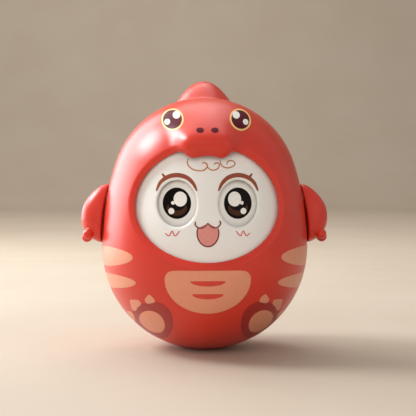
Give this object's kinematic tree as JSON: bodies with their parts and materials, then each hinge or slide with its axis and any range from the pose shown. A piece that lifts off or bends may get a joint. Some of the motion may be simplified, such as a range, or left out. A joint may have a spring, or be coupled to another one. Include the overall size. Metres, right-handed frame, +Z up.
{
  "type": "roly_poly_toy",
  "caption": "Roly poly tumbler toy in a coral dinosaur hood, with a white face, swinging eyes, free-turning flipper arms, a weighted round base and a chime inside",
  "frame": {"origin": "centre of the small flat under the bowl, on the floor", "axes": "+Z up along the body's axis, -Y out of the face, +X to the toy's own left"},
  "size_m": [0.1032, 0.0893, 0.1123],
  "materials": {
    "coral_shell": "satin gloss moulded",
    "white_face": "satin gloss moulded",
    "nylon": "natural moulded",
    "steel": "zinc plated",
    "iron": "as cast"
  },
  "bodies": {
    "shell": {"front_shell": "coral_shell", "rear_shell": "coral_shell", "shell_screws": "steel", "face_mask": "white_face", "face_screws": "steel", "eye_pivot_screw": "steel", "eye_pivot_washer": "steel", "ballast_weight": "iron", "ballast_screws": "steel", "chime_bracket": "nylon", "chime_screws": "steel", "chime_rod_1": "steel", "chime_rod_2": "steel", "chime_rod_3": "steel", "chime_rod_4": "steel", "clapper_pin": "steel"},
    "eyes": {"eye_plate": "white_face", "eye_weight": "steel"},
    "clapper": {"clapper_arm": "nylon", "clapper_hammer": "steel"},
    "arm_left": {"arm_left": "coral_shell", "shoulder_pin_left": "nylon", "shoulder_washer_left": "steel"},
    "arm_right": {"arm_right": "coral_shell", "shoulder_pin_right": "nylon", "shoulder_washer_right": "steel"}
  },
  "joints": [
    {"name": "eye_swing", "type": "hinge", "parent": "shell", "child": "eyes", "pos_m": [0, -0.02903, 0.07707], "axis": [0, -0.7986, 0.6018], "range_deg": [-9, 9]},
    {"name": "arm_left_turn", "type": "hinge", "parent": "shell", "child": "arm_left", "pos_m": [0.04079, 0, 0.06296], "axis": [0.9829, 0, 0.184], "continuous": true},
    {"name": "arm_right_turn", "type": "hinge", "parent": "shell", "child": "arm_right", "pos_m": [-0.04079, 0, 0.06296], "axis": [-0.9829, 0, 0.184], "continuous": true},
    {"name": "clapper_swing", "type": "hinge", "parent": "shell", "child": "clapper", "pos_m": [0, 0.011, 0.061], "axis": [0, 1, 0], "range_deg": [-11, 11]}
  ]
}
